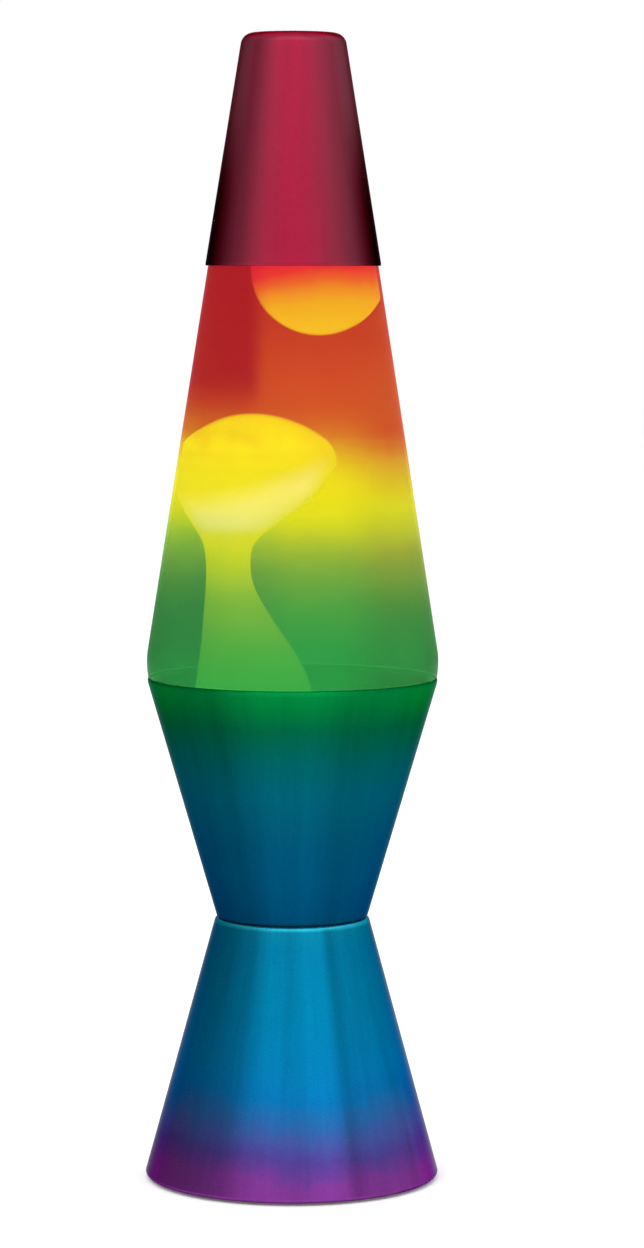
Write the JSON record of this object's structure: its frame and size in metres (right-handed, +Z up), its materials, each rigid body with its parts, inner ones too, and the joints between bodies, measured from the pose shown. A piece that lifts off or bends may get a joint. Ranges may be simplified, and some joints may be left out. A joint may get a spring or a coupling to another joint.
{
  "type": "lava lamp",
  "caption": "Hourglass metal base with a tapered glass globe of liquid and wax, closed by a tapered metal cap, in a top-to-bottom colour fade.",
  "frame": {"origin": "centre of the underside of the rubber feet, on the surface that the lamp stands on", "axes": "+Z up along the lamp's axis of revolution, -Y the front, +Y the rear where the cord enters"},
  "size_m": [0.0948, 0.0948, 0.3683],
  "materials": {
    "cap_paint": "satin metallic paint over aluminium, crimson",
    "crown_gold": "gold lacquered tinplate",
    "liner": "plastic sealing disc",
    "globe_glass": "clear glass with a transparent colour fade on its outside",
    "liquid": "clear tinted liquid",
    "wax": "yellow wax",
    "coil_steel": "plain steel wire",
    "cup_paint": "satin metallic paint over aluminium, green to blue",
    "foot_paint": "satin metallic paint over aluminium, blue to purple",
    "zinc_steel": "zinc plated",
    "phenolic": "moulded insulator",
    "contact_brass": "stamped brass",
    "bulb_glass": "clear blown glass",
    "bulb_cap": "rolled aluminium shell",
    "black_glass": "black glass insulator",
    "solder": "solder",
    "stem_glass": "pressed glass stem",
    "nickel_wire": "nickel plated wire",
    "tungsten": "tungsten, lit",
    "black_plastic": "moulded plastic",
    "black_rubber": "soft rubber"
  },
  "bodies": {
    "base": {"base_upper_cone": "cup_paint", "base_lower_cone": "foot_paint", "waist_screws": "zinc_steel", "waist_nuts": "zinc_steel", "socket_bracket": "zinc_steel", "socket_screws": "zinc_steel", "socket_body": "phenolic", "socket_screw_shell": "contact_brass", "socket_centre_contact": "contact_brass", "socket_terminals": "contact_brass", "cord_bushing": "black_plastic", "bottom_cover": "black_plastic", "tie_bolt": "zinc_steel", "tie_washer": "zinc_steel", "tie_nut": "zinc_steel", "rubber_feet": "black_rubber"},
    "bulb_contact": {"bulb_contact_tip": "solder"},
    "bulb": {"bulb_envelope": "bulb_glass", "bulb_screw_cap": "bulb_cap", "bulb_insulator": "black_glass", "bulb_stem": "stem_glass", "bulb_lead_wires": "nickel_wire", "bulb_filament": "tungsten"},
    "globe": {"globe_bottle": "globe_glass", "globe_liquid": "liquid", "wax_rising": "wax", "wax_top_blob": "wax", "heating_coil": "coil_steel", "crown_cap": "crown_gold", "crown_liner": "liner"},
    "cap": {"top_cap": "cap_paint"}
  },
  "joints": [
    {"name": "globe_lift", "type": "slide", "parent": "base", "child": "globe", "axis": [0, 0, 1], "range_m": [0, 0.056]},
    {"name": "cap_lift", "type": "slide", "parent": "globe", "child": "cap", "axis": [0, 0, 1], "range_m": [0, 0.062]},
    {"name": "bulb_rise", "type": "slide", "parent": "base", "child": "bulb_contact", "axis": [0, 0, 1], "range_m": [0, 0.0115]},
    {"name": "bulb_unscrew", "type": "hinge", "parent": "bulb_contact", "child": "bulb", "pos_m": [0, 0, 0.0415], "axis": [0, 0, 1], "range_deg": [0, 1440]}
  ],
  "couplings": [
    {"joint": "bulb_rise", "follows": "bulb_unscrew", "m_per_rad": 0.00044913}
  ]
}
